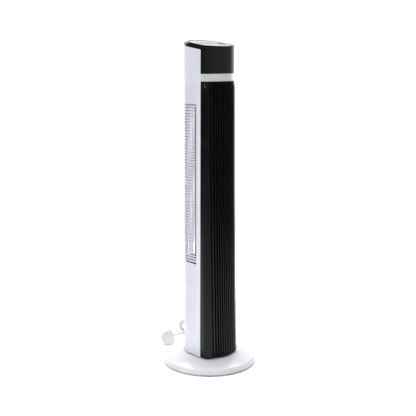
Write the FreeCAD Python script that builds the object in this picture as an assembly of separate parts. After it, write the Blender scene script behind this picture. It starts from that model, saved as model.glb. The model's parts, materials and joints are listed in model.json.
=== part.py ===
import FreeCAD, Part
import os
from math import acos, asin, atan, cos, degrees, pi, radians, sin, sqrt, tan

# Tower fan, millimetres, +Z up, front towards -Y, origin on the floor under the middle of the round base.

# Base
BASE_R = 145.0
RIM_TOP = 22.0
DOME_TOP = 31.5
DOME_FLAT_R = 66.0
FOOT_H = 3.0
FOOT_R = 10.0
FOOT_PLACE_R = 118.0
PLATE_TOP = 5.0
COVER_WALL = 2.5
COVER_HOLE_R = 29.0
RIM_BEND = 7.0
HEM_BEND = 2.0
BASE_SCREWS = 6
BASE_SCREW_R = 129.0
BALLAST_R = (62.0, 122.0)
BALLAST_T = 7.0
GLAND_DEG = 30.0
GLAND_Z = 11.0
GLAND_R = 5.9
GLAND_LENGTH = 23.8
GLAND_DEPTH = 9.0

# Swivel
HUB_R = 22.0
HUB_BORE_R = 15.0
RUN_FIT = 0.08
SEAT_TOP = DOME_TOP + 1.0
FLOOR_BOTTOM = SEAT_TOP + 1.0
FLOOR_TOP = FLOOR_BOTTOM + 2.9
COLLAR_TOP = FLOOR_TOP + 6.0
RETAINER_TOP = COLLAR_TOP + 3.5
GEAR_Z = RETAINER_TOP + 1.0
GEAR_T = 5.5
GEAR_SCREW_R = 18.5
SUN_TEETH = 60
PINION_TEETH = 16
MODULE = 1.0
BACKLASH = 0.25
PINION_Y = MODULE * (SUN_TEETH + PINION_TEETH) / 2.0
SWING_LOW = GEAR_Z + GEAR_T + 5.0
SWING_HIGH = SWING_LOW + 15.0
SWING_R = 25.0
SWING_LUG_X = 31.0
PINION_SHAFT_R = 3.0

# Column outline: straight sides, half-round back, bowed front with round corners
WIDTH_LOW = 68.0
WIDTH_HIGH = 64.0
Z_LOW = 27.1
Z_HIGH = 950.0
BACK_Y = 16.8
FRONT_R = 104.0
CORNER_R = 13.0
SPLIT_Y = -33.0
FRONT_GAP = 0.3
WALL = 2.4
# Height and corner-centre y of the flared front grille, from the foot up
HEAD_CORNER_Y = -33.0
GRILLE_FLARE = ((27.6, -48.3), (261.0, -43.1), (514.0, -38.9), (856.0, -37.1), (875.0, HEAD_CORNER_Y))

# Heights up the column
GRILLE_TOP = 875.0
BAND_TOP = 897.0
HOUSING_BOTTOM = FLOOR_BOTTOM + 0.3
GRILLE_BOTTOM = FLOOR_BOTTOM + 1.8
CROWN_LOW = 885.0
TOP_FRONT_Y = -62.0
TOP_FRONT_Z = 976.0
TOP_SLOPE = 0.148
RIM_T = 5.0
COLLAR_DROP = 14.0

# Louvre rows around the back
ROW_PITCH = 8.7
ROW_FIRST_Z = 115.0
GROOVES_LOW = 24
SLOT_ROWS = 56
GROOVES_HIGH = 7
SLOT_H = 5.8
GROOVE_H = 3.6
GROOVE_DEPTH = 1.5
ROW_FRONT_Y = -15.0
LOUVRE_RIBS = 9
LOUVRE_RIB_W = 2.2

# Front ribs
RIB_PITCH = 8.2
RIB_W = 3.2
END_RIB_W = 5.0
RIB_COUNT = 11
RIB_DEPTH = 8.0
WINDOW_HALF = 47.0
WINDOW_LOW = GRILLE_BOTTOM + 3.7
WINDOW_HIGH = 871.0

# Air path
FAN_Y = 6.0
FAN_R = 42.0
FAN_LOW = 336.0
FAN_HIGH = 794.0
DUCT_LOW = 331.0
DUCT_HIGH = 802.0
DUCT_WALL = 2.0
DUCT_TIP_Y = -46.0
BLADES = 28
FAN_CELLS = 7
SHAFT_R = 4.0
STUB_R = 3.0
SHAFT_FIT = 0.05
MOTOR_R = 36.0
MOTOR_LOW = 252.0
MOTOR_HIGH = 312.0

# Rear grip
GRIP_HALF = 38.0
GRIP_LOW = 895.0
GRIP_HIGH = 933.0
GRIP_BACK_Y = 52.0
GRIP_WALL = 2.0

# Control panel; button places are in plan
PANEL_RECESS = 0.8
PANEL_MARGIN = 4.3
PANEL_BACK_R = 66.7
PANEL_BACK_Y = -2.0
BUTTON_GAP = 0.35
BUTTON_TRAVEL = 1.2
DISPLAY_Y = 14.0
BUTTONS = {
    "timer_button": (-28.0, 0.0, 6.0, 0.8),
    "swing_button": (-11.0, 0.0, 6.0, 0.8),
    "mode_button": (6.0, 0.0, 6.0, 0.8),
    "speed_button": (23.0, 0.0, 6.0, 0.8),
    "power_button": (42.0, -8.0, 11.0, 1.8),
}

# Mains cord
CORD_D = 6.2
LEAD_ROUTE = (
    (148.0, 85.5, 11.0), (167.0, 96.5, 11.0), (187.5, 112.0, 6.0), (203.0, 135.5, 3.1),
    (201.5, 163.5, 3.1), (183.5, 188.5, 3.1), (161.0, 208.5, 3.1),
)
TAIL_ROUTE = (
    (144.5, 190.0, 40.9), (158.0, 178.0, 39.8), (169.5, 165.0, 35.5), (173.5, 145.5, 29.0),
    (165.5, 125.5, 24.5), (146.0, 114.0, 22.5), (124.0, 115.5, 24.0), (103.5, 125.5, 29.0),
    (84.5, 139.5, 35.0), (65.5, 154.0, 39.5), (46.5, 166.29, 40.9), (28.435, 175.9, 36.173),
)
HANK_TURN = -41.6
HANK_MIDDLE = (124.8, 224.2)
HANK_LENGTH = 101.0
HANK_HEIGHT = 54.0
HANK_WIDTH = 31.0
TIE_W = 14.0
TIE_T = 1.4
PLUG_MIDDLE = (-12.0, 197.4, 25.6)
PLUG_TURN = -28.0
PLUG_LEAN = 13.0
PLUG_LENGTH = 42.0
PLUG_HEIGHT = 50.0
PLUG_DEPTH = 20.0
PIN_SPACING = 22.2
PIN_T = 4.0
EARTH_PIN = (8.0, 22.7)
LINE_PIN = (6.4, 17.7)
RELIEF_LENGTH = 26.0

UP = FreeCAD.Vector(0, 0, 1)


def vec(x, y, z=0.0):
    return FreeCAD.Vector(x, y, z)


def block(x0, x1, y0, y1, z0, z1):
    """Box between two corners."""
    return Part.makeBox(x1 - x0, y1 - y0, z1 - z0, vec(x0, y0, z0))


def rod(r, z0, z1, x=0.0, y=0.0):
    """Upright round bar."""
    return Part.makeCylinder(r, z1 - z0, vec(x, y, z0))


def tube(r_out, r_in, z0, z1, x=0.0, y=0.0):
    """Upright round tube."""
    return rod(r_out, z0, z1, x, y).cut(rod(r_in, z0 - 1, z1 + 1, x, y))


def fused(shapes):
    """One shape from several that meet."""
    return shapes[0].multiFuse(list(shapes[1:])).removeSplitter()


def around(count, radius, start=0.0):
    """Evenly spaced places on a circle."""
    places = []
    for i in range(count):
        a = radians(start + 360.0 * i / count)
        places.append((radius * cos(a), radius * sin(a)))
    return places


def prism(outer, z0, z1):
    """Upright prism on an outline."""
    face = Part.Face(outer)
    face.translate(vec(0, 0, z0))
    return face.extrude(vec(0, 0, z1 - z0))


def arc3(a, b, c):
    """Arc edge through three points."""
    return Part.Arc(a, b, c).toShape()


def line(a, b):
    """Straight edge."""
    return Part.LineSegment(a, b).toShape()


def half_width(z):
    """Half the column's width at a height."""
    return WIDTH_LOW - (WIDTH_LOW - WIDTH_HIGH) * (z - Z_LOW) / (Z_HIGH - Z_LOW)


def outline(z, inset, corner_y):
    """The column's section at a height, moved in by inset."""
    w = half_width(z)
    rc = max(CORNER_R, inset + 1.0)
    front_mid = corner_y + sqrt((FRONT_R - rc) ** 2 - (w - rc) ** 2)
    lean = atan((w - rc) / (front_mid - corner_y))
    r = rc - inset
    big = FRONT_R - inset
    side = w - inset
    right_tip = vec(w - rc + r * sin(lean), corner_y - r * cos(lean), z)
    left_tip = vec(-right_tip.x, right_tip.y, z)
    half = radians(45) + lean / 2
    right_mid = vec(w - rc + r * sin(half), corner_y - r * cos(half), z)
    left_mid = vec(-right_mid.x, right_mid.y, z)
    right_side = vec(side, corner_y, z)
    left_side = vec(-side, corner_y, z)
    right_back = vec(side, BACK_Y, z)
    left_back = vec(-side, BACK_Y, z)
    return Part.Wire([
        arc3(right_back, vec(0, BACK_Y + side, z), left_back),
        line(left_back, left_side),
        arc3(left_side, left_mid, left_tip),
        arc3(left_tip, vec(0, front_mid - big, z), right_tip),
        arc3(right_tip, right_mid, right_side),
        line(right_side, right_back),
    ])


def column(inset, z0=20.0, z1=1010.0):
    """The straight-tapered column as a solid."""
    sections = [outline(z0, inset, HEAD_CORNER_Y), outline(z1, inset, HEAD_CORNER_Y)]
    return Part.makeLoft(sections, True, True)


def flared_front(inset):
    """The column with the grille's flared front, up to the chamfer under the band."""
    sections = [outline(z, inset, y) for z, y in GRILLE_FLARE]
    return Part.makeLoft(sections, True, True)


def flare_y(z):
    """Corner-centre y of the grille at a height."""
    for (z0, y0), (z1, y1) in zip(GRILLE_FLARE, GRILLE_FLARE[1:]):
        if z <= z1:
            break
    return y0 + (y1 - y0) * (z - z0) / (z1 - z0)


def bow_middle(z):
    """Centre y of the bowed front at a height of the grille."""
    return flare_y(z) + sqrt((FRONT_R - CORNER_R) ** 2 - (half_width(z) - CORNER_R) ** 2)


def top_area(inset):
    """The column cut short at the back by the round rear edge of the panel's frame, moved in by inset."""
    round_back = rod(PANEL_BACK_R - inset, 900, 1010, 0, PANEL_BACK_Y)
    front = block(-90, 90, -120, PANEL_BACK_Y, 900, 1010)
    return column(inset).common(round_back.fuse(front))


def front_half():
    """Space in front of the line where the black front meets the white back."""
    return block(-90, 90, -120, SPLIT_Y - FRONT_GAP, 0, 1020)


def tilt(shape):
    """Moves a shape made flat, with its origin at the top's front edge, onto the sloping top."""
    shape.rotate(vec(0, 0, 0), vec(1, 0, 0), degrees(atan(TOP_SLOPE)))
    shape.translate(vec(0, TOP_FRONT_Y, TOP_FRONT_Z))
    return shape


def under_top(low, high):
    """Sloping slab between two depths below the top, both measured square to it."""
    return tilt(block(-120, 120, -400, 400, -high, -low))


def panel_y(y):
    """Distance up the sloping top of a place given in plan."""
    return (y - TOP_FRONT_Y) / cos(atan(TOP_SLOPE))


def save(name, shape):
    """Writes one sub-part."""
    if not shape.isValid():
        print("INVALID", name)
    shape.exportStep("parts/" + name + ".step")
    print(name, "solids", len(shape.Solids), "volume", round(shape.Volume))


# ---------------------------------------------------------------- base


def base_screw_places():
    """Places in plan of the screws between the base's plate and cover."""
    return around(BASE_SCREWS, BASE_SCREW_R, 20.0)


def gland_space(grow):
    """The round space that the cord gland fills in the base's rim."""
    start = vec(0, BASE_R - GLAND_DEPTH, GLAND_Z)
    barrel = Part.makeCylinder(GLAND_R + grow, GLAND_DEPTH + 3.0, start, vec(0, 1, 0))
    barrel.rotate(vec(0, 0, 0), UP, GLAND_DEG - 90.0)
    return barrel


def cover_line(inset):
    """Section of the base's top, moved in by inset: flat middle, dome and rim, meeting smoothly."""
    rim_r = BASE_R - RIM_BEND
    rim_z = RIM_TOP - RIM_BEND
    run = rim_r - DOME_FLAT_R
    drop = DOME_TOP - rim_z
    dome_r = (run**2 + drop**2 - RIM_BEND**2) / (2 * (drop - RIM_BEND))
    lean = asin(run / (dome_r - RIM_BEND))

    def on_dome(a):
        return vec(DOME_FLAT_R + (dome_r - inset) * sin(a), 0, DOME_TOP - dome_r + (dome_r - inset) * cos(a))

    def on_bend(a):
        return vec(rim_r + (RIM_BEND - inset) * sin(a), 0, rim_z + (RIM_BEND - inset) * cos(a))

    return [
        line(vec(COVER_HOLE_R, 0, DOME_TOP - inset), on_dome(0.0)),
        arc3(on_dome(0.0), on_dome(lean / 2), on_dome(lean)),
        arc3(on_dome(lean), on_bend((lean + radians(90)) / 2), on_bend(radians(90))),
    ]


def base_cover():
    """Round moulded cover with a domed top, a rounded rim, screw bosses and the column's hole."""
    wall = BASE_R - COVER_WALL
    hem = HEM_BEND * (1 - sqrt(0.5))
    rim_z = RIM_TOP - RIM_BEND
    profile = Part.Wire(
        cover_line(0.0) + [
            line(vec(BASE_R, 0, rim_z), vec(BASE_R, 0, FOOT_H + HEM_BEND)),
            arc3(vec(BASE_R, 0, FOOT_H + HEM_BEND), vec(BASE_R - hem, 0, FOOT_H + hem),
                 vec(BASE_R - HEM_BEND, 0, FOOT_H)),
            line(vec(BASE_R - HEM_BEND, 0, FOOT_H), vec(wall, 0, FOOT_H)),
            line(vec(wall, 0, FOOT_H), vec(wall, 0, rim_z)),
        ] + cover_line(COVER_WALL)[::-1] + [
            line(vec(COVER_HOLE_R, 0, DOME_TOP - COVER_WALL), vec(COVER_HOLE_R, 0, DOME_TOP)),
        ])
    shell = Part.Face(profile).revolve(vec(0, 0, 0), UP, 360)
    bosses = [tube(4.5, 2.0, PLATE_TOP, RIM_TOP, x, y) for x, y in base_screw_places()]
    return fused([shell] + bosses).cut(gland_space(0.2))


def base_plate():
    """Flat plate that closes the underside, with countersunk screw holes."""
    plate = rod(BASE_R - COVER_WALL - 0.5, FOOT_H, PLATE_TOP)
    holes = [rod(2.2, 0, 10, x, y) for x, y in base_screw_places()]
    wells = [Part.makeCone(4.2, 2.2, 1.5, vec(x, y, FOOT_H)) for x, y in base_screw_places()]
    return plate.cut(Part.makeCompound(holes + wells))


def base_screws():
    """Countersunk screws that hold the plate to the cover."""
    screws = []
    for x, y in base_screw_places():
        head = Part.makeCone(4.0, 1.8, 1.4, vec(x, y, FOOT_H + 0.05))
        screws.append(head.fuse(rod(1.8, FOOT_H + 1.4, 15.0, x, y)))
    return Part.makeCompound(screws)


def ballast_ring():
    """Steel weight inside the base."""
    return tube(BALLAST_R[1], BALLAST_R[0], PLATE_TOP, PLATE_TOP + BALLAST_T)


def rubber_feet():
    """Round pads under the base."""
    pads = []
    for x, y in around(6, FOOT_PLACE_R):
        pad = rod(FOOT_R, 0, FOOT_H, x, y)
        low_edge = [e for e in pad.Edges if e.CenterOfMass.z < 0.1 and len(e.Vertexes) == 1]
        pads.append(pad.makeChamfer(0.8, low_edge))
    return Part.makeCompound(pads)


def pivot_hub():
    """Flanged hollow post that the column turns on."""
    flange = tube(56.0, HUB_BORE_R, PLATE_TOP, PLATE_TOP + 4.0)
    neck = tube(COVER_HOLE_R - 1.0, HUB_BORE_R, PLATE_TOP + 4.0, DOME_TOP)
    seat = tube(50.0, HUB_BORE_R, DOME_TOP, SEAT_TOP)
    post = tube(HUB_R, HUB_BORE_R, SEAT_TOP, GEAR_Z + GEAR_T)
    hub = fused([flange, neck, seat, post])
    holes = [rod(1.3, COLLAR_TOP, 100, x, y) for x, y in around(3, GEAR_SCREW_R, 90.0)]
    return hub.cut(Part.makeCompound(holes))


def slide_washer():
    """Low-friction ring under the column's floor."""
    return tube(47.0, HUB_R + 0.3, SEAT_TOP, FLOOR_BOTTOM - 0.1)


def pivot_retainer():
    """Ring that keeps the column down on its hub."""
    return tube(30.0, HUB_R + 0.02, COLLAR_TOP + 0.15, RETAINER_TOP)


def gear_outline(teeth, phase_deg):
    """Outline of an involute spur gear."""
    pitch = MODULE * teeth / 2.0
    root = pitch - 1.25 * MODULE
    tip = pitch + MODULE
    base = pitch * cos(radians(20.0))
    roll = tan(radians(20.0)) - radians(20.0)
    half = pi / (2 * teeth) - BACKLASH / (2 * pitch)
    low = max(base, root)
    radii = [low + (tip - low) * k / 3.0 for k in range(4)]
    flank = []
    for r in radii:
        a = acos(min(1.0, base / r))
        flank.append((r, half + roll - (tan(a) - a)))
    if root < base:
        flank.insert(0, (root, flank[0][1]))
    points = []
    for i in range(teeth):
        middle = radians(phase_deg) + 2 * pi * i / teeth
        for r, a in flank:
            points.append(vec(r * cos(middle - a), r * sin(middle - a)))
        for r, a in reversed(flank):
            points.append(vec(r * cos(middle + a), r * sin(middle + a)))
    points.append(points[0])
    return Part.makePolygon(points)


def fixed_gear():
    """Ring gear with outside teeth, screwed to the top of the hub."""
    teeth = prism(gear_outline(SUN_TEETH, 90.0), GEAR_Z, GEAR_Z + GEAR_T)
    teeth = teeth.cut(rod(HUB_R + 0.02, 0, 100))
    flange = tube(27.5, HUB_BORE_R + 0.5, GEAR_Z + GEAR_T, GEAR_Z + GEAR_T + 2.0)
    gear = fused([teeth, flange])
    holes = [rod(1.6, 30, 100, x, y) for x, y in around(3, GEAR_SCREW_R, 90.0)]
    return gear.cut(Part.makeCompound(holes))


def gear_screws():
    """Screws through the gear's flange into the hub."""
    top = GEAR_Z + GEAR_T + 2.0
    screws = []
    for x, y in around(3, GEAR_SCREW_R, 90.0):
        head = rod(2.8, top, top + 1.8, x, y).cut(block(x - 0.4, x + 0.4, y - 3, y + 3, top + 1.0, top + 2))
        screws.append(head.fuse(rod(1.25, COLLAR_TOP + 1.0, top, x, y)))
    return Part.makeCompound(screws)


# ---------------------------------------------------------------- mains cord


def cord_gland():
    """Tapered ribbed boot where the cord leaves the base's rim."""
    collar = rod(GLAND_R, BASE_R - GLAND_DEPTH, BASE_R + 2.0)
    boot = Part.makeCone(GLAND_R, 4.0, GLAND_LENGTH, vec(0, 0, BASE_R + 2.0))
    grooves = [tube(8.0, 4.4, z, z + 1.4) for z in (BASE_R + 8.0, BASE_R + 13.0, BASE_R + 18.0)]
    boot = collar.fuse(boot).removeSplitter().cut(Part.makeCompound(grooves))
    boot.rotate(vec(0, 0, 0), vec(1, 0, 0), -90.0)
    boot.rotate(vec(0, 0, 0), UP, GLAND_DEG - 90.0)
    boot.translate(vec(0, 0, GLAND_Z))
    return boot


def corner_radius(a, b, c):
    """Radius of the arc at b between two runs, with the turn in degrees."""
    before = b - a
    after = c - b
    turn = before.getAngle(after)
    run = min(before.Length, after.Length)
    return 0.45 * run / tan(turn / 2), degrees(turn), run


def cord_tube(name, route):
    """Round cord along straight runs joined by tangent arcs."""
    points = [vec(*p) for p in route]
    edges = []
    start = points[0]
    length = 0.0
    for a, b, c in zip(points, points[1:], points[2:]):
        radius, turn, run = corner_radius(a, b, c)
        back = (a - b).normalize()
        ahead = (c - b).normalize()
        enter = b + back * (0.45 * run)
        leave = b + ahead * (0.45 * run)
        to_middle = (back + ahead).normalize()
        reach = radius / cos(radians(turn) / 2) - radius
        edges.append(line(start, enter))
        edges.append(arc3(enter, b + to_middle * reach, leave))
        length += (enter - start).Length + radius * radians(turn)
        start = leave
        print(name, "turn", round(turn, 1), "radius", round(radius, 1))
    edges.append(line(start, points[-1]))
    length += (points[-1] - start).Length
    path = Part.Wire(edges)
    ring = Part.makeCircle(CORD_D / 2, points[0], points[1] - points[0])
    solid = path.makePipeShell([Part.Wire(ring)], True, True)
    print(name, "length", round(length, 1), "volume ratio", solid.Volume / (length * pi * CORD_D**2 / 4))
    return solid


def stadium(length, height, depth):
    """Upright slab with half-round ends, its length along X, standing on z=0."""
    r = height / 2
    run = length / 2 - r
    edges = [
        line(vec(-run, 0, 0), vec(run, 0, 0)),
        arc3(vec(run, 0, 0), vec(run + r, 0, r), vec(run, 0, height)),
        line(vec(run, 0, height), vec(-run, 0, height)),
        arc3(vec(-run, 0, height), vec(-run - r, 0, r), vec(-run, 0, 0)),
    ]
    slab = Part.Face(Part.Wire(edges)).extrude(vec(0, depth, 0))
    slab.translate(vec(0, -depth / 2, 0))
    return slab


def lay_hank(shape):
    """Turns and moves a shape from the hank's own axes to its place behind the fan."""
    shape.rotate(vec(0, 0, 0), UP, HANK_TURN)
    shape.translate(vec(HANK_MIDDLE[0], HANK_MIDDLE[1], 0))
    return shape


def cord_hank():
    """Outer shape of the cord folded into a bundle."""
    return lay_hank(stadium(HANK_LENGTH, HANK_HEIGHT, HANK_WIDTH))


def cord_tie():
    """Strap round the middle of the bundle."""
    reach = HANK_WIDTH / 2 + TIE_T
    outer = block(-TIE_W / 2, TIE_W / 2, -reach, reach, 0, HANK_HEIGHT + TIE_T)
    inner = block(-TIE_W, TIE_W, -HANK_WIDTH / 2 - 0.1, HANK_WIDTH / 2 + 0.1, -1, HANK_HEIGHT + 0.1)
    return lay_hank(outer.cut(inner))


def lay_plug(shape):
    """Leans, turns and moves a shape from the plug's own axes to its place on the floor.

    In its own axes the cord leaves along +X, the pins point along +Y and +Z is up."""
    shape.rotate(vec(0, 0, 0), vec(0, 1, 0), -PLUG_LEAN)
    shape.rotate(vec(0, 0, 0), UP, PLUG_TURN)
    shape.translate(vec(*PLUG_MIDDLE))
    return shape


def plug_outline(inset):
    """Rounded five-sided face of a three-pin plug, in the XZ plane."""
    x0 = -PLUG_LENGTH / 2 + inset
    x1 = PLUG_LENGTH / 2 - inset
    h = PLUG_HEIGHT / 2 - inset
    corners = [(x0, h * 0.42), (x0 + 15, h), (x1 - 4, h), (x1, h * 0.8)]
    ring = corners + [(x, -z) for x, z in reversed(corners)]
    points = [vec(x, 0, z) for x, z in ring]
    return Part.makePolygon(points + [points[0]])


def plug_body():
    """Moulded three-pin plug, standing on its side."""
    face = Part.Face(plug_outline(0.0))
    body = face.extrude(vec(0, PLUG_DEPTH, 0))
    body.translate(vec(0, -PLUG_DEPTH / 2, 0))
    depth_edges = [e for e in body.Edges if abs(e.CenterOfMass.y) < 0.1]
    body = body.makeFillet(3.0, depth_edges)
    front = [e for e in body.Edges if abs(e.CenterOfMass.y + PLUG_DEPTH / 2) < 0.1]
    body = body.makeFillet(2.2, front)
    dimples = [Part.makeSphere(3.0, vec(-3, -PLUG_DEPTH / 2 - 1.9, z)) for z in (-9.0, 9.0)]
    fuse_well = block(-4.0, 4.0, PLUG_DEPTH / 2 - 1.5, PLUG_DEPTH, -13.0, 13.0)
    return lay_plug(body.cut(Part.makeCompound(dimples + [fuse_well])))


def pin(x, z, size, wide, tall):
    """One pin, from the plug's face along +Y: wide along X and tall along Z."""
    face_y = PLUG_DEPTH / 2
    return block(x - wide / 2, x + wide / 2, face_y, face_y + size[1], z - tall / 2, z + tall / 2)


def plug_pins():
    """Earth, live and neutral pins."""
    half = PIN_SPACING / 2
    earth = pin(-half, 0.0, EARTH_PIN, EARTH_PIN[0], PIN_T)
    lines = [pin(half, z, LINE_PIN, PIN_T, LINE_PIN[0]) for z in (-half, half)]
    return lay_plug(Part.makeCompound([earth] + lines))


def plug_fuse_cover():
    """Small cover over the fuse, on the pin side."""
    y = PLUG_DEPTH / 2
    return lay_plug(block(-3.8, 3.8, y - 1.5, y - 0.1, -12.8, 12.8))


def plug_relief():
    """Ribbed flexible sleeve where the cord enters the plug."""
    sleeve = Part.makeCone(5.6, 3.9, RELIEF_LENGTH, vec(PLUG_LENGTH / 2, 0, 0), vec(1, 0, 0))
    for k in range(4):
        x = PLUG_LENGTH / 2 + 4.0 + 5.2 * k
        cutter = Part.makeCylinder(8.0, 2.0, vec(x, 0, 0), vec(1, 0, 0))
        core = Part.makeCylinder(3.6, 4.0, vec(x - 1, 0, 0), vec(1, 0, 0))
        sleeve = sleeve.cut(cutter.cut(core))
    return lay_plug(sleeve)


# ---------------------------------------------------------------- column shells


def floor_screw_places():
    """Places in plan of the screws through the column's floor into its two uprights and spine."""
    return [(-53.0, -27.0), (53.0, -27.0), (0.0, 69.0)]


def chassis():
    """Floor of the column, with the bearing collar, screw posts and the front and rear uprights."""
    floor = block(-90, 90, SPLIT_Y, 120, FLOOR_BOTTOM, FLOOR_TOP)
    toe_space = block(-90, 90, -120, SPLIT_Y, FLOOR_BOTTOM, FLOOR_TOP)
    foot = column(WALL + 0.1).common(floor)
    toe = flared_front(RIB_DEPTH + 0.2).common(toe_space)
    collar = tube(28.0, HUB_R + RUN_FIT, FLOOR_TOP, COLLAR_TOP)
    posts = [rod(4.0, FLOOR_TOP, SWING_HIGH, x, PINION_Y) for x in (-SWING_LUG_X, SWING_LUG_X)]
    uprights = [block(x, x + 6.0, -30.0, -24.0, FLOOR_TOP, DUCT_LOW - 5.0) for x in (-56.0, 50.0)]
    spine = block(-8.0, 8.0, 66.0, 72.0, FLOOR_TOP, DUCT_LOW - 5.0)
    body = fused([foot, toe, collar, spine] + posts + uprights)
    wells = [rod(3.1, FLOOR_BOTTOM - 1, FLOOR_BOTTOM + 1.8, x, y) for x, y in floor_screw_places()]
    return body.cut(Part.makeCompound(wells + [rod(HUB_R + RUN_FIT, FLOOR_BOTTOM - 1, FLOOR_TOP + 1)]))


def louvre_rows():
    """Low grooves, open slots and high grooves, from the bottom up: their lowest z, in three lists."""
    rows = [ROW_FIRST_Z + ROW_PITCH * i for i in range(GROOVES_LOW + SLOT_ROWS + GROOVES_HIGH)]
    return rows[:GROOVES_LOW], rows[GROOVES_LOW:-GROOVES_HIGH], rows[-GROOVES_HIGH:]


def louvre_rib(deg, z0, z1):
    """Upright rib on the inside of the louvred back, at a bearing from the back's centre."""
    outer = [(z, half_width(z) - 1.2) for z in (z0, z1)]
    inner = [(z, half_width(z) - 4.6) for z in (z1, z0)]
    points = [vec(r, -LOUVRE_RIB_W / 2, z) for z, r in outer + inner]
    bar = Part.Face(Part.makePolygon(points + [points[0]])).extrude(vec(0, LOUVRE_RIB_W, 0))
    bar.rotate(vec(0, 0, 0), UP, deg)
    bar.translate(vec(0, BACK_Y, 0))
    return bar


def rear_shell(z0, z1):
    """Plain white wall round the back and sides between two heights."""
    return column(0.0).cut(column(WALL)).common(block(-90, 90, SPLIT_Y, 120, z0, z1))


def rear_housing():
    """White shell with rows of louvres round its back and sides, ribbed inside."""
    low, slots, high = louvre_rows()
    rings = [block(-90, 90, ROW_FRONT_Y, 120, z, z + SLOT_H) for z in slots]
    skin = column(-5.0).cut(column(GROOVE_DEPTH))
    grooves = [block(-90, 90, ROW_FRONT_Y, 120, z, z + GROOVE_H) for z in low + high]
    grooves = skin.common(Part.makeCompound(grooves))
    shell = rear_shell(HOUSING_BOTTOM, CROWN_LOW).cut(rings + grooves.Solids)
    bearings = [2.0 + 176.0 * i / (LOUVRE_RIBS - 1) for i in range(LOUVRE_RIBS)]
    ribs = [louvre_rib(deg, slots[0] - 6.0, slots[-1] + 12.0) for deg in bearings]
    return shell.multiFuse(ribs)


def rear_crown():
    """Top of the white shell, with the grip's window."""
    reach = GRIP_HALF + GRIP_WALL + 0.1
    window = block(-reach, reach, 40, 120, GRIP_LOW - GRIP_WALL - 0.1, GRIP_HIGH + GRIP_WALL + 0.1)
    return rear_shell(CROWN_LOW, 1010).common(under_top(COLLAR_DROP, 990)).cut(window)


def grip_cup():
    """Recess in the back of the head for carrying, open to the rear."""
    outer = block(-GRIP_HALF - GRIP_WALL, GRIP_HALF + GRIP_WALL, GRIP_BACK_Y - GRIP_WALL, 120,
                  GRIP_LOW - GRIP_WALL, GRIP_HIGH + GRIP_WALL)
    outer = outer.common(column(0.0))
    return outer.cut(block(-GRIP_HALF, GRIP_HALF, GRIP_BACK_Y, 120, GRIP_LOW, GRIP_HIGH))


def upright_bar(x, width, z0, z1):
    """Rib whose front edge follows the bowed, flared front."""
    stops = [z0] + [z for z, _ in GRILLE_FLARE if z0 < z < z1] + [z1]
    bow = sqrt(FRONT_R**2 - x**2)
    front = [vec(x - width / 2, bow_middle(z) - bow, z) for z in stops]
    back = [p + vec(0, RIB_DEPTH, 0) for p in reversed(front)]
    face = Part.Face(Part.makePolygon(front + back + [front[0]]))
    return face.extrude(vec(width, 0, 0))


def cross_tie(z):
    """Thin curved bar behind the ribs."""
    half = degrees(atan(WINDOW_HALF / FRONT_R)) + 2.0
    middle = vec(0, bow_middle(z), z)
    rings = []
    for r in (FRONT_R - RIB_DEPTH, FRONT_R - RIB_DEPTH + 3.0):
        a = radians(half)
        ends = [middle + vec(s * r * sin(a), -r * cos(a), 0) for s in (-1, 1)]
        rings.append((ends, arc3(ends[0], middle + vec(0, -r, 0), ends[1])))
    (low_ends, low), (high_ends, high) = rings
    wire = Part.Wire([low, line(low_ends[1], high_ends[1]), high, line(high_ends[0], low_ends[0])])
    return Part.Face(wire).extrude(vec(0, 0, 3.0))


def front_grille():
    """Black front with tall narrow ribs, cross ties behind them and a chamfered top."""
    shell = flared_front(0.0).cut(flared_front(WALL)).common(front_half())
    window = block(-WINDOW_HALF, WINDOW_HALF, -120, SPLIT_Y, WINDOW_LOW, WINDOW_HIGH)
    shell = shell.cut([window, block(-90, 90, -120, 0, 0, GRILLE_BOTTOM)])
    low = WINDOW_LOW - 3.0
    high = WINDOW_HIGH + 3.0
    bars = []
    for i in range(RIB_COUNT):
        width = END_RIB_W if i in (0, RIB_COUNT - 1) else RIB_W
        bars.append(upright_bar(RIB_PITCH * (i - (RIB_COUNT - 1) / 2.0), width, low, high))
    for side in (-1, 1):
        bars.append(upright_bar(side * (WINDOW_HALF + 0.6), 2.2, low, high))
    ties = [cross_tie(low + (high - low - 3.0) * k / 8.0) for k in range(9)]
    return fused([shell] + bars + ties)


def lower_baffle():
    """Plate behind the ribs that closes the front below the air outlet."""
    plate = block(-52.0, 52.0, -50.0, -48.0, FLOOR_TOP + 0.1, DUCT_LOW - 5.1)
    flanges = [block(x, x + 2.0, -48.0, -30.1, FLOOR_TOP + 0.1, DUCT_LOW - 5.1) for x in (-52.0, 50.0)]
    return fused([plate] + flanges)


def upper_baffle():
    """Plate behind the ribs that closes the front above the air outlet."""
    plate = block(-50.0, 50.0, -42.5, -40.5, DUCT_HIGH + 4.1, WINDOW_HIGH - 3.0)
    flanges = [block(x, x + 2.0, -40.5, -30.0, DUCT_HIGH + 4.1, WINDOW_HIGH - 3.0) for x in (-50.0, 48.0)]
    return fused([plate] + flanges)


def silver_band():
    """Bright strip across the front, with a fine lip along each edge."""
    front = front_half()
    main = column(0.2).cut(column(2.0)).common(front)
    main = main.common(block(-90, 90, -120, 0, GRILLE_TOP + 0.1, BAND_TOP - 0.1))
    lips = column(-0.4).cut(column(1.0)).common(front)
    low = block(-90, 90, -120, 0, GRILLE_TOP + 0.1, GRILLE_TOP + 1.6)
    high = block(-90, 90, -120, 0, BAND_TOP - 1.6, BAND_TOP - 0.1)
    return fused([main] + lips.common(low.fuse(high)).Solids)


def board_posts():
    """Places in plan of the posts that carry the control board."""
    return [(-42.0, -22.0), (42.0, -26.0), (-40.0, 34.0), (40.0, 34.0)]


def board_lug(x, y):
    """Short arm from the shelf to a board post."""
    ends = sorted((x, x * 1.4))
    arm = block(ends[0] - 3, ends[1] + 3, panel_y(y) - 4, panel_y(y) + 4, -RIM_T - 1.8, -RIM_T)
    return tilt(arm).common(column(WALL - 0.4))


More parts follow.
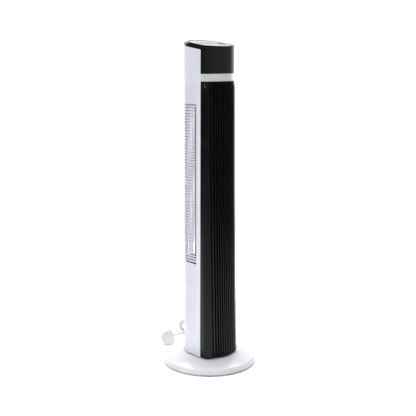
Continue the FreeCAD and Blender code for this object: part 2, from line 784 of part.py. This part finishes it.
def head_cover():
    """Glossy black head: front wall, collar round the back, and a shelf that shows behind the panel."""
    wall = column(0.0).cut(column(WALL))
    front = wall.common(front_half()).common(block(-90, 90, -120, 120, BAND_TOP, 1020))
    front = front.common(under_top(RIM_T, 990))
    collar = wall.common(under_top(RIM_T, COLLAR_DROP - 0.05))
    shelf = column(WALL - 0.4).cut(top_area(9.0)).common(under_top(RIM_T, RIM_T + 1.8))
    posts = [tilt(rod(3.0, -15.0, -RIM_T - 1.0, x, panel_y(y))) for x, y in board_posts()]
    lugs = [board_lug(x, y) for x, y in board_posts()]
    return fused([front, collar, shelf] + posts + lugs)


def top_rim():
    """Sloping ring that frames the control panel."""
    return top_area(-0.3).cut(top_area(PANEL_MARGIN - 0.3)).common(under_top(0.0, RIM_T - 0.02))


def control_panel():
    """Silver plate with round holes for the buttons and a slot for the display."""
    plate = top_area(PANEL_MARGIN).common(under_top(PANEL_RECESS, RIM_T - 0.05))
    holes = []
    for x, y, r, _ in BUTTONS.values():
        holes.append(tilt(rod(r + BUTTON_GAP, -20, 20, x, panel_y(y))))
    holes.append(tilt(block(-31.2, 27.2, panel_y(DISPLAY_Y) - 3.2, panel_y(DISPLAY_Y) + 3.2, -20, 20)))
    return plate.cut(Part.makeCompound(holes))


def display_lens():
    """Dark clear strip over the indicator lights."""
    y = panel_y(DISPLAY_Y)
    return tilt(block(-31.0, 27.0, y - 3.0, y + 3.0, -RIM_T + 0.1, -PANEL_RECESS - 0.1))


def button(x, y, r, proud):
    """Push button: a domed cap on a stem, held under the panel by a flange."""
    top = -PANEL_RECESS + proud
    cap = rod(r, -RIM_T - 0.5, top, x, panel_y(y))
    rim = [e for e in cap.Edges if e.CenterOfMass.z > top - 0.1 and len(e.Vertexes) == 1]
    cap = cap.makeFillet(0.6, rim)
    flange = rod(r + 1.0, -RIM_T - 1.6, -RIM_T - 0.4, x, panel_y(y))
    stem = rod(2.2, -RIM_T - 4.4, -RIM_T - 1.5, x, panel_y(y))
    return tilt(fused([cap, flange, stem]))


def control_board():
    """Circuit board under the panel."""
    low = min(y for _, y in board_posts()) - 5
    high = max(y for _, y in board_posts()) + 5
    board = block(-47.0, 47.0, panel_y(low), panel_y(high), -16.6, -15.0)
    holes = [rod(1.7, -20, 0, x, panel_y(y)) for x, y in board_posts()]
    return tilt(board.cut(Part.makeCompound(holes)))


def board_screws():
    """Screws that hold the control board to its posts."""
    screws = []
    for x, y in board_posts():
        screws.append(tilt(rod(2.8, -18.4, -16.6, x, panel_y(y))))
    return Part.makeCompound(screws)


def tact_switches():
    """One switch on the board under each button."""
    switches = []
    for x, y, _, _ in BUTTONS.values():
        body = block(x - 3, x + 3, panel_y(y) - 3, panel_y(y) + 3, -15.0, -12.2)
        plunger = rod(1.6, -12.2, -RIM_T - 4.4 - BUTTON_TRAVEL - 0.15, x, panel_y(y))
        switches.append(tilt(body.fuse(plunger)))
    return Part.makeCompound(switches)


def indicator_lights():
    """Row of small lights under the display lens."""
    lights = []
    for i in range(6):
        x = -27.0 + 10.0 * i
        lights.append(tilt(rod(1.5, -15.0, -RIM_T - 0.2, x, panel_y(DISPLAY_Y))))
    return Part.makeCompound(lights)


# ---------------------------------------------------------------- air path


def polar(r, deg):
    """Point at a bearing from the impeller's axis."""
    return vec(r * cos(radians(deg)), FAN_Y + r * sin(radians(deg)))


def curved_wall(sections, tip_in, tip_out):
    """Outline of a wall whose inner line passes through polar places and ends at a straight tip."""
    inner = [polar(r, a) for r, a in sections]
    outer = [polar(r + DUCT_WALL, a) for r, a in sections]
    curve_in = Part.BSplineCurve()
    curve_in.interpolate(inner)
    curve_out = Part.BSplineCurve()
    curve_out.interpolate(outer)
    return Part.Wire([
        curve_in.toShape(),
        line(inner[-1], tip_in),
        line(tip_in, tip_out),
        line(tip_out, outer[-1]),
        curve_out.toShape(),
        line(outer[0], inner[0]),
    ])


def duct_scroll():
    """Curved wall that guides air from the back of the impeller to the front."""
    sections = [(44.5 + 10.5 * k / 5.0, 62.0 - 17.0 * k) for k in range(6)]
    wire = curved_wall(sections, vec(46.5, DUCT_TIP_Y), vec(48.5, DUCT_TIP_Y))
    return prism(wire, DUCT_LOW, DUCT_HIGH)


def duct_tongue():
    """Shorter wall on the other side, close to the impeller."""
    sections = [(44.2, 178.0), (44.3, 187.0), (44.8, 197.0), (46.5, 206.0)]
    wire = curved_wall(sections, vec(-46.5, DUCT_TIP_Y), vec(-48.5, DUCT_TIP_Y))
    return prism(wire, DUCT_LOW, DUCT_HIGH)


def duct_plate(z0, z1, bore):
    """End plate that closes the air path across the column."""
    plate = column(WALL + 2.6).common(block(-90, 90, -52, 120, z0, z1))
    return plate.cut(rod(bore, z0 - 1, z1 + 1, 0, FAN_Y))


def duct_bottom_plate():
    """Plate under the impeller that also carries the motor."""
    return duct_plate(DUCT_LOW - 5.0, DUCT_LOW - 0.05, 14.0)


def duct_top_plate():
    """Plate over the impeller, with a socket for the top bearing."""
    plate = duct_plate(DUCT_HIGH + 0.05, DUCT_HIGH + 4.0, 9.05)
    socket = tube(12.0, 9.05, DUCT_HIGH + 4.0, DUCT_HIGH + 12.0, 0, FAN_Y)
    return fused([plate, socket])


def top_bearing():
    """Rubber-mounted bush for the impeller's top shaft."""
    return tube(9.0, STUB_R + SHAFT_FIT, DUCT_HIGH + 1.0, DUCT_HIGH + 11.0, 0, FAN_Y)


def impeller_drum():
    """Tall cross-flow impeller: curved blades between discs."""
    mid = polar(FAN_R - 5.0, 5.5)
    inner_a = polar(FAN_R - 9.0, 0.0)
    outer_a = polar(FAN_R - 0.6, 3.0)
    mid_b = polar(FAN_R - 5.0, 7.5)
    inner_b = polar(FAN_R - 9.0, 2.2)
    outer_b = polar(FAN_R - 0.6, 4.6)
    profile = Part.Wire([
        arc3(inner_a, mid, outer_a),
        line(outer_a, outer_b),
        arc3(outer_b, mid_b, inner_b),
        line(inner_b, inner_a),
    ])
    blade = prism(profile, FAN_LOW, FAN_HIGH)
    parts = []
    for i in range(BLADES):
        copy = blade.copy()
        copy.rotate(vec(0, FAN_Y, 0), UP, 360.0 * i / BLADES)
        parts.append(copy)
    cell = (FAN_HIGH - FAN_LOW - 2.0) / FAN_CELLS
    for k in range(1, FAN_CELLS):
        z = FAN_LOW + cell * k
        parts.append(tube(FAN_R, FAN_R - 9.5, z, z + 2.0, 0, FAN_Y))
    parts.append(tube(FAN_R, SHAFT_R + 4.0, FAN_LOW - 1.0, FAN_LOW + 1.5, 0, FAN_Y))
    parts.append(rod(FAN_R, FAN_HIGH - 1.5, FAN_HIGH + 1.0, 0, FAN_Y))
    return fused(parts)


def impeller_coupling():
    """Rubber-bushed hub between the motor shaft and the impeller."""
    hub = tube(SHAFT_R + 3.95, SHAFT_R + 0.02, FAN_LOW - 4.0, FAN_LOW + 16.0, 0, FAN_Y)
    spokes = tube(FAN_R - 12.0, SHAFT_R + 2.0, FAN_LOW + 1.5, FAN_LOW + 4.5, 0, FAN_Y)
    return fused([hub, spokes])


def rotor_shaft():
    """Steel motor shaft that drives the impeller."""
    return rod(SHAFT_R, MOTOR_LOW + 14.0, FAN_LOW + 15.0, 0, FAN_Y)


def top_stub():
    """Steel stub shaft at the impeller's top."""
    stub = rod(STUB_R, FAN_HIGH + 1.0, DUCT_HIGH + 10.0, 0, FAN_Y)
    return stub.fuse(rod(8.0, FAN_HIGH + 1.0, FAN_HIGH + 3.0, 0, FAN_Y))


def motor_housing():
    """Steel motor can with cooling slots and a bearing boss at each end."""
    can = rod(MOTOR_R, MOTOR_LOW + 6.0, MOTOR_HIGH - 6.0, 0, FAN_Y)
    bosses = [rod(11.0, z, z + 6.0, 0, FAN_Y) for z in (MOTOR_LOW, MOTOR_HIGH - 6.0)]
    body = fused([can] + bosses).cut(rod(SHAFT_R + SHAFT_FIT, MOTOR_LOW + 12.0, MOTOR_HIGH + 1, 0, FAN_Y))
    slots = []
    for i in range(12):
        slot = block(16.0, 30.0, -1.5, 1.5, MOTOR_HIGH - 9.0, MOTOR_HIGH)
        slot.rotate(vec(0, 0, 0), UP, 30.0 * i)
        slot.translate(vec(0, FAN_Y, 0))
        slots.append(slot)
    return body.cut(Part.makeCompound(slots))


def motor_mounts():
    """Rubber rings between the motor's top and its plate."""
    mounts = []
    for x, y in around(3, 32.0, 30.0):
        mounts.append(tube(5.0, 2.2, MOTOR_HIGH - 5.9, DUCT_LOW - 5.05, x, y + FAN_Y))
    return Part.makeCompound(mounts)


def motor_screws():
    """Screws through the rubber rings, from the plate down."""
    screws = []
    for x, y in around(3, 32.0, 30.0):
        screws.append(rod(2.0, MOTOR_HIGH - 5.9, DUCT_LOW - 5.1, x, y + FAN_Y))
    return Part.makeCompound(screws)


def motor_capacitor():
    """Run capacitor beside the motor."""
    can = rod(11.0, 200.0, 238.0, 0, FAN_Y)
    tabs = [block(x - 0.4, x + 0.4, FAN_Y - 3, FAN_Y + 3, 238.0, 246.0) for x in (-4.0, 4.0)]
    return fused([can] + tabs)


def power_board():
    """Upright mains board with its largest components."""
    board = block(-38.0, 38.0, -22.0, -20.4, 90.0, 190.0)
    relay = block(-30.0, -12.0, -20.4, -5.0, 150.0, 166.0)
    choke = block(4.0, 24.0, -20.4, -8.0, 110.0, 130.0)
    heat_sink = block(-28.0, -8.0, -20.4, -12.0, 100.0, 130.0)
    return fused([board, relay, choke, heat_sink])


def board_carrier():
    """Plate that holds the mains board and the capacitor's saddle."""
    plate = block(-49.9, 49.9, -27.0, -24.0, 84.0, 196.0)
    pegs = [block(x - 2, x + 2, -24.0, -22.0, z - 2, z + 2) for x in (-34.0, 34.0) for z in (95.0, 185.0)]
    return fused([plate] + pegs)


def swing_motor():
    """Flat geared motor that turns the column on its base, hung over the gears on two lugs."""
    reach = SWING_LUG_X + 5.0
    body = rod(SWING_R, SWING_LOW, SWING_HIGH, 0, PINION_Y)
    lugs = block(-reach, reach, PINION_Y - 5.0, PINION_Y + 5.0, SWING_HIGH, SWING_HIGH + 2.0)
    hole = rod(PINION_SHAFT_R + SHAFT_FIT, SWING_LOW - 1.0, SWING_HIGH - 4.0, 0, PINION_Y)
    return fused([body, lugs]).cut(hole)


def swing_pinion():
    """Small gear on the swing motor's shaft."""
    phase = -90.0 + 180.0 / PINION_TEETH
    gear = prism(gear_outline(PINION_TEETH, phase), GEAR_Z + 0.2, GEAR_Z + GEAR_T)
    gear = gear.cut(rod(PINION_SHAFT_R, 0, 100))
    gear.translate(vec(0, PINION_Y, 0))
    hub = tube(5.0, PINION_SHAFT_R, GEAR_Z + GEAR_T, SWING_LOW - 1.0, 0, PINION_Y)
    return fused([gear, hub])


def pinion_shaft():
    """Steel shaft from the swing motor into its pinion."""
    return rod(PINION_SHAFT_R - 0.02, GEAR_Z + 0.2, SWING_HIGH - 5.0, 0, PINION_Y)


def column_screws():
    """Screw heads in the wells of the column's floor."""
    screws = [rod(3.0, FLOOR_BOTTOM + 0.2, FLOOR_BOTTOM + 1.7, x, y) for x, y in floor_screw_places()]
    return Part.makeCompound(screws)


BUILDERS = (
    base_cover, base_plate, base_screws, ballast_ring, rubber_feet,
    pivot_hub, slide_washer, pivot_retainer, fixed_gear, gear_screws,
    cord_gland, cord_hank, cord_tie, plug_body, plug_pins, plug_fuse_cover, plug_relief,
    chassis, rear_housing, rear_crown, grip_cup, front_grille, lower_baffle, upper_baffle,
    silver_band, head_cover, top_rim, control_panel, display_lens,
    control_board, board_screws, tact_switches, indicator_lights,
    duct_scroll, duct_tongue, duct_bottom_plate, duct_top_plate, top_bearing,
    impeller_drum, impeller_coupling, rotor_shaft, top_stub,
    motor_housing, motor_mounts, motor_screws, motor_capacitor, power_board, board_carrier,
    swing_motor, swing_pinion, pinion_shaft, column_screws,
)


def main():
    os.makedirs("parts", exist_ok=True)
    for builder in BUILDERS:
        save(builder.__name__, builder())
    save("cord_lead", cord_tube("cord_lead", LEAD_ROUTE))
    save("cord_tail", cord_tube("cord_tail", TAIL_ROUTE))
    for name, size in BUTTONS.items():
        save(name, button(*size))


main()
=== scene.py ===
import json
from math import cos, pi, radians, sin

import bpy
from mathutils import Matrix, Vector


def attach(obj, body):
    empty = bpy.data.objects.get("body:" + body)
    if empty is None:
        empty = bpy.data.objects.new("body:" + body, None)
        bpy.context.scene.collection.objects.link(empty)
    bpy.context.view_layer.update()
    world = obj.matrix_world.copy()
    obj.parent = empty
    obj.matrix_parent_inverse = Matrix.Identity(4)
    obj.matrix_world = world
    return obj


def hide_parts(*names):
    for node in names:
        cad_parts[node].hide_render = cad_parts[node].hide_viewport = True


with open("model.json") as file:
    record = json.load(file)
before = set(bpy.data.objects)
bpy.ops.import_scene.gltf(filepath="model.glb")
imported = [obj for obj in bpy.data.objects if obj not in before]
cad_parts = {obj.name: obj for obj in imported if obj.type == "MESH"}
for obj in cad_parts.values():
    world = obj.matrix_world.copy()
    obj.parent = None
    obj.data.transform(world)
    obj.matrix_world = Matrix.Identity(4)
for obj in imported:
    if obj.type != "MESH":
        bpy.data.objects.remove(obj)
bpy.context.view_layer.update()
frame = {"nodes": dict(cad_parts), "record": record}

NODES = frame["nodes"]
scene = bpy.context.scene

# ---------------------------------------------------------------- camera

CAMERA_PLACE = (-1.679, -1.8845, 0.964)
CAMERA_YAW = radians(-41.6)
CAMERA_PITCH = radians(-10.66)
CAMERA_LENS = 72.5
CAMERA_SENSOR = 36.0
CAMERA_REACH = 50.0


def add_camera():
    """Camera at the photograph's viewing angle."""
    data = bpy.data.cameras.new("camera")
    data.lens = CAMERA_LENS
    data.sensor_width = CAMERA_SENSOR
    data.clip_end = CAMERA_REACH
    camera = bpy.data.objects.new("camera", data)
    camera.location = CAMERA_PLACE
    camera.rotation_euler = (pi / 2 + CAMERA_PITCH, 0, CAMERA_YAW)
    scene.collection.objects.link(camera)
    scene.camera = camera


# ---------------------------------------------------------------- mains cord

CORD_D = 0.0062
CORD_STEPS = 8
CORD_FACETS = 5

# From the gland down to the floor, and up to the folded hank.
LEAD_ROUTE = (
    (0.148, 0.0855, 0.011), (0.167, 0.0965, 0.011), (0.1875, 0.112, 0.006), (0.203, 0.1355, 0.0031),
    (0.2015, 0.1635, 0.0031), (0.1835, 0.1885, 0.0031),
)
# From the folded hank to the plug.
TAIL_ROUTE = (
    (0.158, 0.178, 0.0398), (0.1695, 0.165, 0.0355), (0.1735, 0.1455, 0.029), (0.1655, 0.1255, 0.0245),
    (0.146, 0.114, 0.0225), (0.124, 0.1155, 0.024), (0.1035, 0.1255, 0.029), (0.0845, 0.1395, 0.035),
    (0.0655, 0.154, 0.0395), (0.0465, 0.16629, 0.0409), (0.028435, 0.1759, 0.036173),
)

HANK_BEARING = radians(-41.6)
HANK_MIDDLE = Vector((0.1248, 0.2242, 0.0))
HANK_TURNS = 6
HANK_HALF_WIDTH = 0.0124
HANK_RUN = 0.0235           # from the hank's middle to the middle of a loop
RUN_WANDER = 0.003          # how much the loops' reach varies
WANDER_STEP = 2.3
RUN_POINT = 0.4             # place of a run's two points, as a share of HANK_RUN
RUN_PINCH = 0.002           # how far the tie draws a run in
LOOP_R = 0.0239
LOOP_NEST = 0.0042          # every second turn's loops are this much smaller
LOOP_STEP = 30
LOOP_ANGLES = range(-75, 90, LOOP_STEP)


def hank_point(along, across, height):
    """Point in the hank's own axes, brought to its place behind the fan."""
    x = along * cos(HANK_BEARING) - across * sin(HANK_BEARING)
    y = along * sin(HANK_BEARING) + across * cos(HANK_BEARING)
    return HANK_MIDDLE + Vector((x, y, height))


def hank_run(side, across, height):
    """Two points of the straight run that leads to the loop on one side."""
    reach = RUN_POINT * HANK_RUN
    return [hank_point(side * along, across, height) for along in (-reach, reach)]


def hank_route():
    """Turns of the folded cord: along the bottom, up round a loop, back on top, down round the next."""
    points = []
    halves = 2 * HANK_TURNS - 1
    step = 2 * HANK_HALF_WIDTH / halves
    middle = LOOP_R + CORD_D / 2
    for half in range(halves):
        side = -1 if half % 2 == 0 else 1
        loop_r = LOOP_R - LOOP_NEST * (half // 2 % 2)
        corner_r = loop_r / cos(radians(LOOP_STEP / 2))
        start = HANK_HALF_WIDTH - step * half
        reach = HANK_RUN + RUN_WANDER * sin(WANDER_STEP * half)
        points += hank_run(side, start, middle + side * (loop_r - RUN_PINCH))
        for k, angle in enumerate(LOOP_ANGLES):
            bearing = radians(-side * angle)
            along = side * (reach + corner_r * cos(bearing))
            across = start - step * (k + 0.5) / len(LOOP_ANGLES)
            points.append(hank_point(along, across, middle + corner_r * sin(bearing)))
    points += hank_run(1, -HANK_HALF_WIDTH, middle + loop_r - RUN_PINCH)
    return points


def add_cord():
    """The whole mains cord as one smooth line, from the gland to the plug."""
    data = bpy.data.curves.new("mains_cord", "CURVE")
    data.dimensions = "3D"
    spline = data.splines.new("NURBS")
    route = [Vector(p) for p in LEAD_ROUTE] + hank_route() + [Vector(p) for p in TAIL_ROUTE]
    spline.points.add(len(route) - 1)
    for point, place in zip(spline.points, route):
        point.co = (*place, 1.0)
        point.radius = CORD_D / 2
    spline.order_u = 3
    spline.use_endpoint_u = True
    spline.resolution_u = CORD_STEPS
    data.bevel_depth = 1.0
    data.bevel_resolution = CORD_FACETS
    data.use_fill_caps = True
    cord = bpy.data.objects.new("mains_cord", data)
    scene.collection.objects.link(cord)
    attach(cord, "base")
    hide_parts("cord_lead", "cord_hank", "cord_tail")
    return cord


add_camera()
cord = add_cord()


# ---------------------------------------------------------------- materials


class Shader:
    """A Principled material with its nodes laid out by name."""

    def __init__(self, name):
        self.material = bpy.data.materials.new(name)
        self.material.use_nodes = True
        self.tree = self.material.node_tree
        self.bsdf = self.tree.nodes["Principled BSDF"]
        self.place = self.tree.nodes.new("ShaderNodeTexCoord").outputs["Object"]

    def set(self, **values):
        for key, value in values.items():
            self.bsdf.inputs[key.replace("_", " ")].default_value = value

    def noise(self, scale, detail=3.0, rough=0.5, stretch=None):
        place = self.place
        if stretch:
            mapping = self.tree.nodes.new("ShaderNodeMapping")
            mapping.inputs["Scale"].default_value = stretch
            self.tree.links.new(place, mapping.inputs["Vector"])
            place = mapping.outputs["Vector"]
        node = self.tree.nodes.new("ShaderNodeTexNoise")
        node.inputs["Scale"].default_value = scale
        node.inputs["Detail"].default_value = detail
        node.inputs["Roughness"].default_value = rough
        self.tree.links.new(place, node.inputs["Vector"])
        return node.outputs["Fac"]

    def ramp(self, source, low, high, start=0.3, end=0.7):
        node = self.tree.nodes.new("ShaderNodeMapRange")
        node.inputs["From Min"].default_value = start
        node.inputs["From Max"].default_value = end
        node.inputs["To Min"].default_value = low
        node.inputs["To Max"].default_value = high
        self.tree.links.new(source, node.inputs["Value"])
        return node.outputs["Result"]

    def blend(self, source, first, second):
        node = self.tree.nodes.new("ShaderNodeMix")
        node.data_type = "RGBA"
        node.inputs[6].default_value = (*first, 1.0)
        node.inputs[7].default_value = (*second, 1.0)
        self.tree.links.new(source, node.inputs[0])
        return node.outputs[2]

    def colour(self, source):
        self.tree.links.new(source, self.bsdf.inputs["Base Color"])

    def rough(self, source):
        self.tree.links.new(source, self.bsdf.inputs["Roughness"])

    def bump(self, source, strength, distance):
        node = self.tree.nodes.new("ShaderNodeBump")
        node.inputs["Strength"].default_value = strength
        node.inputs["Distance"].default_value = distance
        self.tree.links.new(source, node.inputs["Height"])
        self.tree.links.new(node.outputs["Normal"], self.bsdf.inputs["Normal"])


def plastic(name, dark, light, rough, grain=900.0, depth=0.00004, spec=0.5):
    """Moulded plastic: faint colour drift, uneven gloss and a fine skin."""
    s = Shader(name)
    s.set(Specular_IOR_Level=spec)
    s.colour(s.blend(s.ramp(s.noise(14.0, 4.0), 0.0, 1.0), dark, light))
    s.rough(s.ramp(s.noise(45.0, 5.0, 0.6), *rough))
    s.bump(s.noise(grain, 2.0), 0.25, depth)
    return s.material


def brushed(name, dark, light, rough, stretch, depth=0.00002, metal=1.0):
    """Metal or metal film with fine lines along one direction."""
    s = Shader(name)
    s.set(Metallic=metal)
    lines = s.noise(420.0, 4.0, 0.6, stretch)
    s.colour(s.blend(s.ramp(lines, 0.0, 1.0), dark, light))
    s.rough(s.ramp(s.noise(60.0, 3.0), *rough))
    s.bump(lines, 0.3, depth)
    return s.material


# Each slot's darker and lighter colour, its least and greatest roughness, and what else sets it apart.
PLASTICS = {
    "white_gloss": dict(dark=(0.56, 0.565, 0.595), light=(0.59, 0.595, 0.625), rough=(0.08, 0.13), spec=0.4),
    "white_satin": dict(dark=(0.60, 0.615, 0.675), light=(0.63, 0.645, 0.705), rough=(0.28, 0.36)),
    "white_inner": dict(dark=(0.40, 0.405, 0.42), light=(0.46, 0.465, 0.48), rough=(0.5, 0.6)),
    "black_gloss": dict(dark=(0.004, 0.004, 0.005), light=(0.007, 0.007, 0.008), rough=(0.06, 0.10),
                        grain=1400.0, depth=0.00001),
    "black_satin": dict(dark=(0.002, 0.002, 0.0025), light=(0.004, 0.004, 0.005), rough=(0.14, 0.20),
                        grain=1100.0, depth=0.00002, spec=0.22),
    "silver_panel": dict(dark=(0.13, 0.132, 0.142), light=(0.155, 0.158, 0.17), rough=(0.4, 0.5),
                         grain=1500.0, depth=0.00001, spec=0.2),
    "silver_button": dict(dark=(0.045, 0.046, 0.05), light=(0.06, 0.061, 0.066), rough=(0.3, 0.4),
                          grain=1500.0, depth=0.00001, spec=0.25),
    "smoked_lens": dict(dark=(0.02, 0.02, 0.024), light=(0.03, 0.03, 0.034), rough=(0.06, 0.1),
                        grain=1500.0, depth=0.00001),
    "dark_plastic": dict(dark=(0.016, 0.016, 0.018), light=(0.024, 0.024, 0.027), rough=(0.5, 0.62)),
    "bearing_plastic": dict(dark=(0.66, 0.65, 0.60), light=(0.74, 0.73, 0.68), rough=(0.4, 0.5)),
    "foot_rubber": dict(dark=(0.015, 0.015, 0.015), light=(0.028, 0.028, 0.028), rough=(0.7, 0.85),
                        grain=500.0, depth=0.0001),
    "ballast_steel": dict(dark=(0.08, 0.08, 0.085), light=(0.14, 0.13, 0.13), rough=(0.5, 0.7),
                          grain=300.0, depth=0.0001),
    "circuit_board": dict(dark=(0.02, 0.09, 0.04), light=(0.03, 0.12, 0.05), rough=(0.3, 0.45)),
    "light_plastic": dict(dark=(0.6, 0.62, 0.6), light=(0.7, 0.72, 0.7), rough=(0.4, 0.5)),
    "impeller_black": dict(dark=(0.012, 0.012, 0.013), light=(0.02, 0.02, 0.021), rough=(0.45, 0.6)),
    "cord_white": dict(dark=(0.54, 0.54, 0.56), light=(0.60, 0.60, 0.62), rough=(0.42, 0.52),
                       grain=700.0, depth=0.00005),
    "tie_white": dict(dark=(0.62, 0.62, 0.64), light=(0.72, 0.72, 0.74), rough=(0.7, 0.85),
                      grain=600.0, depth=0.0002),
    "plug_white": dict(dark=(0.54, 0.54, 0.56), light=(0.60, 0.60, 0.62), rough=(0.35, 0.45),
                       grain=600.0, depth=0.00006),
}
METALS = {
    "silver_trim": dict(dark=(0.88, 0.89, 0.91), light=(0.97, 0.975, 0.985), rough=(0.20, 0.28),
                        stretch=(1.0, 1.0, 30.0), metal=0.55),
    "screw_steel": dict(dark=(0.45, 0.45, 0.46), light=(0.62, 0.62, 0.63), rough=(0.25, 0.4),
                        stretch=(1.0, 1.0, 6.0)),
    "motor_steel": dict(dark=(0.32, 0.32, 0.33), light=(0.50, 0.50, 0.51), rough=(0.35, 0.5),
                        stretch=(1.0, 1.0, 40.0)),
    "pin_brass": dict(dark=(0.55, 0.45, 0.28), light=(0.75, 0.63, 0.40), rough=(0.2, 0.35),
                      stretch=(6.0, 1.0, 1.0)),
}
MATERIALS = {name: plastic(name, **look) for name, look in PLASTICS.items()}
MATERIALS.update({name: brushed(name, **look) for name, look in METALS.items()})


def dress(obj, slot):
    """Puts a slot's material on an object."""
    obj.data.materials.clear()
    obj.data.materials.append(MATERIALS[slot])


for part in frame["record"]["subparts"]:
    dress(NODES[part["node"]], part["material_slot"])
dress(cord, "cord_white")


# ---------------------------------------------------------------- studio

FLOOR_SIZE = 6.0
FLOOR_MIDDLE = (-1.5, -1.7, 0.0)
FLOOR_DARK = (0.96, 0.96, 0.96)
FLOOR_LIGHT = (0.98, 0.98, 0.98)
BACKDROP = 1.06
BACKDROP_EDGE = (0.45, 0.75)
ROOM_LEFT = 0.1
ROOM_RIGHT = 0.3
ROOM_EDGE = (-0.2, 0.9)


def add_floor():
    """Plain pale floor."""
    bpy.ops.mesh.primitive_plane_add(size=FLOOR_SIZE, location=FLOOR_MIDDLE)
    floor = bpy.context.object
    floor.name = "floor"
    s = Shader("floor_paint")
    s.set(Specular_IOR_Level=0.1)
    s.colour(s.blend(s.ramp(s.noise(3.0, 3.0), 0.0, 1.0), FLOOR_DARK, FLOOR_LIGHT))
    s.rough(s.ramp(s.noise(20.0, 4.0), 0.6, 0.75))
    floor.data.materials.append(s.material)


def add_panel_light(name, place, aim, width, height, power, spread=180.0):
    """Soft rectangular light that faces a point."""
    data = bpy.data.lights.new(name, "AREA")
    data.shape = "RECTANGLE"
    data.size = width
    data.size_y = height
    data.energy = power
    data.spread = radians(spread)
    light = bpy.data.objects.new(name, data)
    light.location = place
    light.rotation_euler = (Vector(aim) - Vector(place)).to_track_quat("-Z", "Y").to_euler()
    scene.collection.objects.link(light)


def add_world():
    """Bright backdrop behind the fan, and dimmer surroundings that grow brighter towards the right."""
    world = bpy.data.worlds.new("studio")
    world.use_nodes = True
    tree = world.node_tree
    direction = tree.nodes.new("ShaderNodeTexCoord").outputs["Generated"]

    def towards(vector, edge, low, high):
        dot = tree.nodes.new("ShaderNodeVectorMath")
        dot.operation = "DOT_PRODUCT"
        dot.inputs[1].default_value = vector
        tree.links.new(direction, dot.inputs[0])
        scale = tree.nodes.new("ShaderNodeMapRange")
        scale.interpolation_type = "SMOOTHSTEP"
        scale.inputs["From Min"].default_value = edge[0]
        scale.inputs["From Max"].default_value = edge[1]
        scale.inputs["To Min"].default_value = low
        scale.inputs["To Max"].default_value = high
        tree.links.new(dot.outputs["Value"], scale.inputs["Value"])
        return scale.outputs["Result"]

    backdrop = towards((-sin(CAMERA_YAW), cos(CAMERA_YAW), 0.0), BACKDROP_EDGE, 0.0, BACKDROP)
    room = towards((cos(CAMERA_YAW), sin(CAMERA_YAW), 0.0), ROOM_EDGE, ROOM_LEFT, ROOM_RIGHT)
    brightest = tree.nodes.new("ShaderNodeMath")
    brightest.operation = "MAXIMUM"
    tree.links.new(backdrop, brightest.inputs[0])
    tree.links.new(room, brightest.inputs[1])
    background = tree.nodes["Background"]
    background.inputs["Color"].default_value = (1.0, 1.0, 1.0, 1.0)
    tree.links.new(brightest.outputs["Value"], background.inputs["Strength"])
    scene.world = world


def add_studio():
    """Backdrop, a wide soft light overhead, a weak narrow fill from the front and a soft box on the left."""
    add_world()
    add_panel_light("overhead", (0.7, 0.8, 2.1), (0.6, 0.7, 0.0), 2.4, 2.4, 100.0)
    add_panel_light("fill", (-1.5, -2.0, 1.9), (0, 0, 0.3), 0.8, 0.8, 2.6, spread=40.0)
    add_panel_light("left_box", (-2.4, 0.5, 1.9), (0, 0, 0.5), 1.2, 1.4, 34.0)
    scene.view_settings.view_transform = "Standard"


add_floor()
add_studio()
